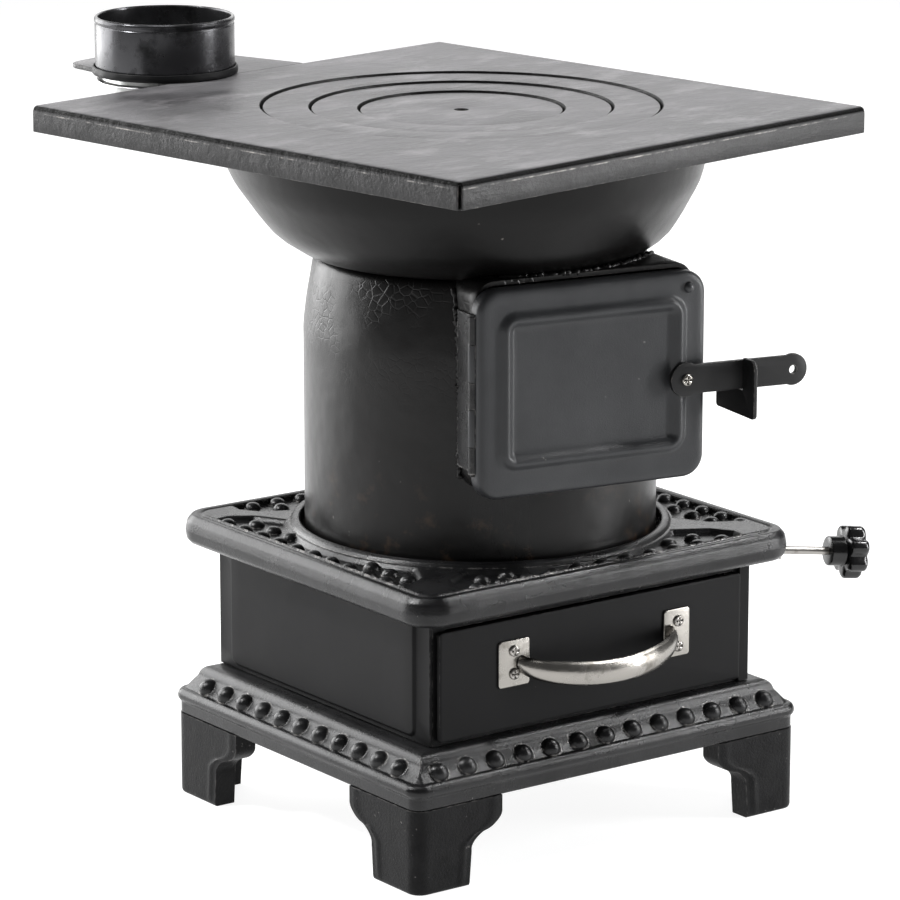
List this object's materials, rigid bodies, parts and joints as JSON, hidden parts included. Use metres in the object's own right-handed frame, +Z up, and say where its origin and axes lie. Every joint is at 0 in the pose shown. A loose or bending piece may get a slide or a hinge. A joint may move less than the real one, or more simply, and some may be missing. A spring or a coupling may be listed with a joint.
{
  "type": "potbelly stove",
  "caption": "Small wood and coal stove: drum on a beaded cast base with an ash drawer, hinged fire door, bowl-shaped throat under a square cooking top with lift-out rings, flue collar behind",
  "frame": {"origin": "on the floor, under the middle of the box round the whole stove with its flue tongue and knob", "axes": "+Z up, -Y towards the viewer of the fire door and ash drawer, +X to that viewer's right, where the shaker knob is; the flue is at +Y"},
  "size_m": [0.548, 0.6218, 0.5882],
  "materials": {
    "cast_iron": "semi-gloss black stove paint on fine-grained cast iron",
    "black_sheet": "matte black stove paint on sheet steel, edges worn light",
    "graphite_sheet": "satin graphite stove paint on rolled steel, streaked by heat",
    "blued_steel": "oiled and heat-blued cooking steel, scuffed and mottled",
    "bright_sheet": "bright zinc-coated sheet",
    "nickel_plate": "nickel plate, softly polished",
    "bare_steel": "bare steel, slightly dull",
    "rough_iron": "unpainted cast iron, rough and burnt",
    "black_plastic": "glossy black phenolic"
  },
  "bodies": {
    "stove_body": {"base_casting": "cast_iron", "foot_front_left": "cast_iron", "tie_bolt_front_left": "bare_steel", "foot_front_right": "cast_iron", "tie_bolt_front_right": "bare_steel", "foot_back_left": "cast_iron", "tie_bolt_back_left": "bare_steel", "foot_back_right": "cast_iron", "tie_bolt_back_right": "bare_steel", "box_side_left": "black_sheet", "box_side_right": "black_sheet", "box_back": "black_sheet", "box_front_frame": "black_sheet", "box_floor": "black_sheet", "drawer_runner_left": "bare_steel", "drawer_runner_right": "bare_steel", "top_casting": "cast_iron", "drum": "graphite_sheet", "fire_pot_ring": "rough_iron", "bowl": "graphite_sheet", "cooking_plate": "blued_steel", "smoke_elbow": "bright_sheet", "flue_collar": "graphite_sheet", "collar_seal": "black_sheet", "door_neck": "graphite_sheet", "hinge_leaf": "cast_iron", "hinge_pin": "bare_steel", "latch_keeper": "bare_steel", "shaker_spring": "bare_steel"},
    "ash_drawer": {"ash_pan": "black_sheet", "drawer_front": "black_sheet", "drawer_handle": "nickel_plate", "handle_screw_1": "nickel_plate", "handle_screw_2": "nickel_plate", "handle_screw_3": "nickel_plate", "handle_screw_4": "nickel_plate"},
    "fire_door": {"door_panel": "cast_iron"},
    "latch": {"latch_lever": "black_sheet", "lever_fin": "black_sheet", "latch_spindle": "bare_steel", "latch_screw": "nickel_plate", "latch_cam": "bare_steel", "cam_nut": "bare_steel"},
    "shaker": {"shaker_rod": "bare_steel", "spring_pin": "bare_steel", "stop_nut": "bare_steel", "shaker_knob": "black_plastic"},
    "riddling_grate": {"grate": "rough_iron"},
    "large_ring_piece": {"large_ring": "blued_steel"},
    "small_ring_piece": {"small_ring": "blued_steel"},
    "lid_piece": {"lid": "blued_steel"}
  },
  "joints": [
    {"name": "drawer_slide", "type": "slide", "parent": "stove_body", "child": "ash_drawer", "axis": [0, -1, 0], "range_m": [0, 0.18]},
    {"name": "door_hinge", "type": "hinge", "parent": "stove_body", "child": "fire_door", "pos_m": [-0.10052, -0.18854, 0.35635], "axis": [0, 0, -1], "range_deg": [0, 120]},
    {"name": "latch_turn", "type": "hinge", "parent": "fire_door", "child": "latch", "pos_m": [0.06358, -0.22672, 0.3543], "axis": [-0.1702, -0.9854, 0], "range_deg": [-25, 40]},
    {"name": "grate_turn", "type": "hinge", "parent": "stove_body", "child": "riddling_grate", "pos_m": [-0.00027, -0.06348, 0.2334], "axis": [0, 0, 1], "range_deg": [-25.5, 0]},
    {"name": "shaker_slide", "type": "slide", "parent": "stove_body", "child": "shaker", "axis": [0.9473, -0.3041, -0.1011], "range_m": [-0.0202, 0], "stiffness_N_per_m": 300, "springref_m": 0.01, "deforming": ["shaker_spring"]},
    {"name": "large_ring_lift", "type": "slide", "parent": "stove_body", "child": "large_ring_piece", "axis": [0, 0, 1], "range_m": [0, 0.06]},
    {"name": "small_ring_lift", "type": "slide", "parent": "large_ring_piece", "child": "small_ring_piece", "axis": [0, 0, 1], "range_m": [0, 0.06]},
    {"name": "lid_lift", "type": "slide", "parent": "small_ring_piece", "child": "lid_piece", "axis": [0, 0, 1], "range_m": [0, 0.06]}
  ],
  "couplings": [
    {"joint": "shaker_slide", "follows": "grate_turn", "m_per_rad": 0.0448}
  ]
}
